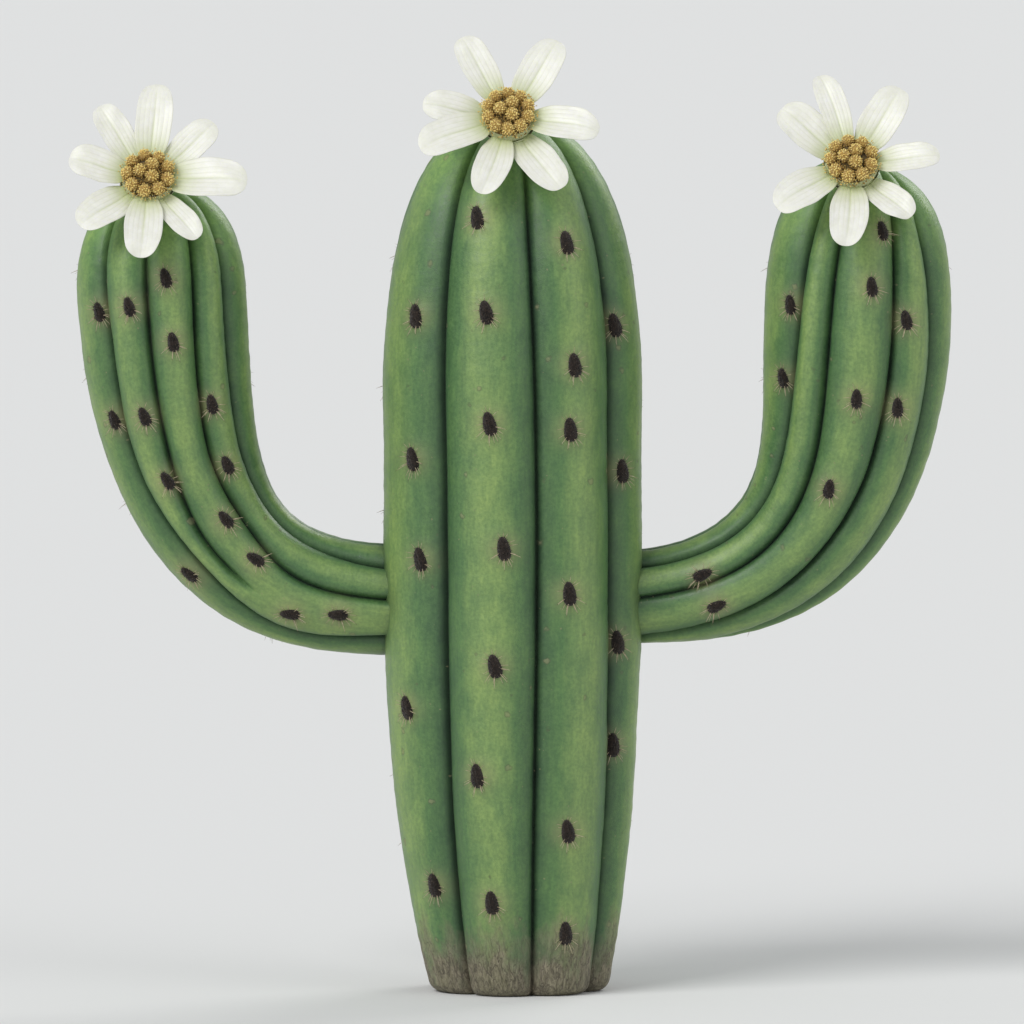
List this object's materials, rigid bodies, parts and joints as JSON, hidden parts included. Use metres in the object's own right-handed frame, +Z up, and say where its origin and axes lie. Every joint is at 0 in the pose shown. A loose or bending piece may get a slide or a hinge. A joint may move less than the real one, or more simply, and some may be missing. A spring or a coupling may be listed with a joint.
{
  "type": "saguaro cactus",
  "caption": "Saguaro cactus rooted in the ground: a ribbed columnar trunk with upturned arms and a large open bloom on each tip.",
  "frame": {"origin": "middle of the flat cut at ground level under the trunk", "axes": "+Z up along the trunk, +X towards the right arm, -Y to the front, where the blooms face"},
  "size_m": [2.4674, 0.7699, 2.6835],
  "materials": {
    "stem_skin": "satin",
    "tube_skin": "satin",
    "petal": "satin",
    "stamen": "matte",
    "areole_felt": "matte",
    "spine": "satin"
  },
  "bodies": {
    "root": {"trunk": "stem_skin", "arm_left_lower": "stem_skin", "arm_left_upper": "stem_skin", "arm_right_lower": "stem_skin", "arm_right_upper": "stem_skin", "bloom_left_tube": "tube_skin", "bloom_left_stamens": "stamen", "bloom_left_petal_1": "petal", "bloom_left_petal_2": "petal", "bloom_left_petal_3": "petal", "bloom_left_petal_4": "petal", "bloom_left_petal_5": "petal", "bloom_left_petal_6": "petal", "bloom_left_petal_7": "petal", "bloom_left_petal_8": "petal", "bloom_top_tube": "tube_skin", "bloom_top_stamens": "stamen", "bloom_top_petal_1": "petal", "bloom_top_petal_2": "petal", "bloom_top_petal_3": "petal", "bloom_top_petal_4": "petal", "bloom_top_petal_5": "petal", "bloom_top_petal_6": "petal", "bloom_top_petal_7": "petal", "bloom_right_tube": "tube_skin", "bloom_right_stamens": "stamen", "bloom_right_petal_1": "petal", "bloom_right_petal_2": "petal", "bloom_right_petal_3": "petal", "bloom_right_petal_4": "petal", "bloom_right_petal_5": "petal", "bloom_right_petal_6": "petal", "bloom_right_petal_7": "petal"}
  },
  "joints": []
}
